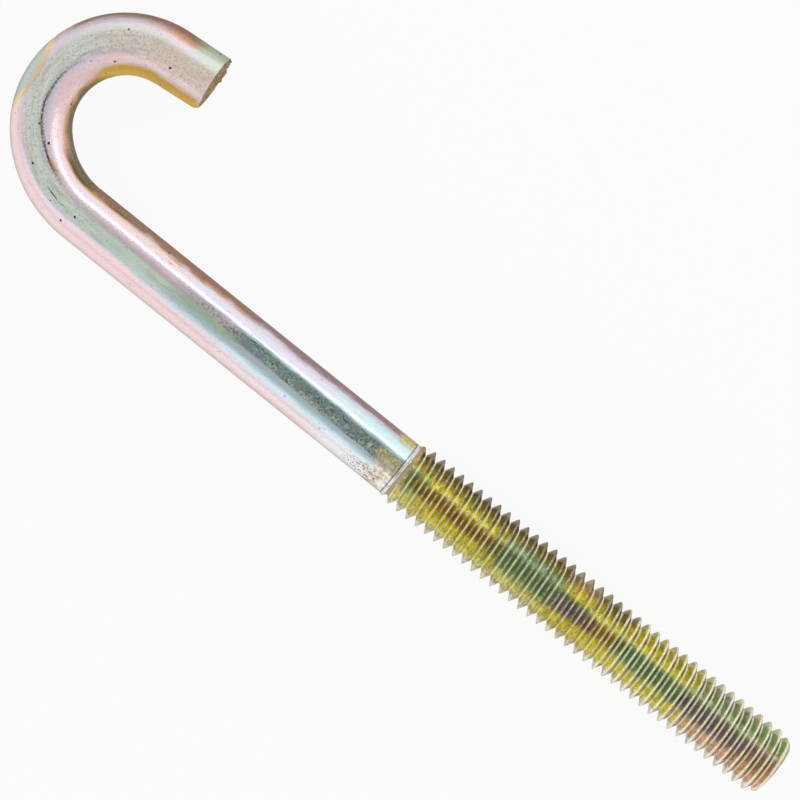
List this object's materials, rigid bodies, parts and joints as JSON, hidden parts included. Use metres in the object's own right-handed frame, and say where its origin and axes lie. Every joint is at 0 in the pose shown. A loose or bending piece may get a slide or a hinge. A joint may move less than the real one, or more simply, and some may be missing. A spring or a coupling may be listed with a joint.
{
  "type": "j-hook",
  "caption": "Round steel rod with one end bent round into an open hook and the other end rolled with a long right-hand thread.",
  "frame": {"origin": "centre of the flat face at the threaded end", "axes": "+X along the shank's axis, out of the threaded end; +Y from the shank towards the hook's tip; +Z square to the plane of the hook"},
  "size_m": [0.1355, 0.033, 0.0094],
  "materials": {
    "zinc_plate": "yellow zinc plate, iridescent"
  },
  "bodies": {
    "root": {"j_hook": "zinc_plate"}
  },
  "joints": []
}
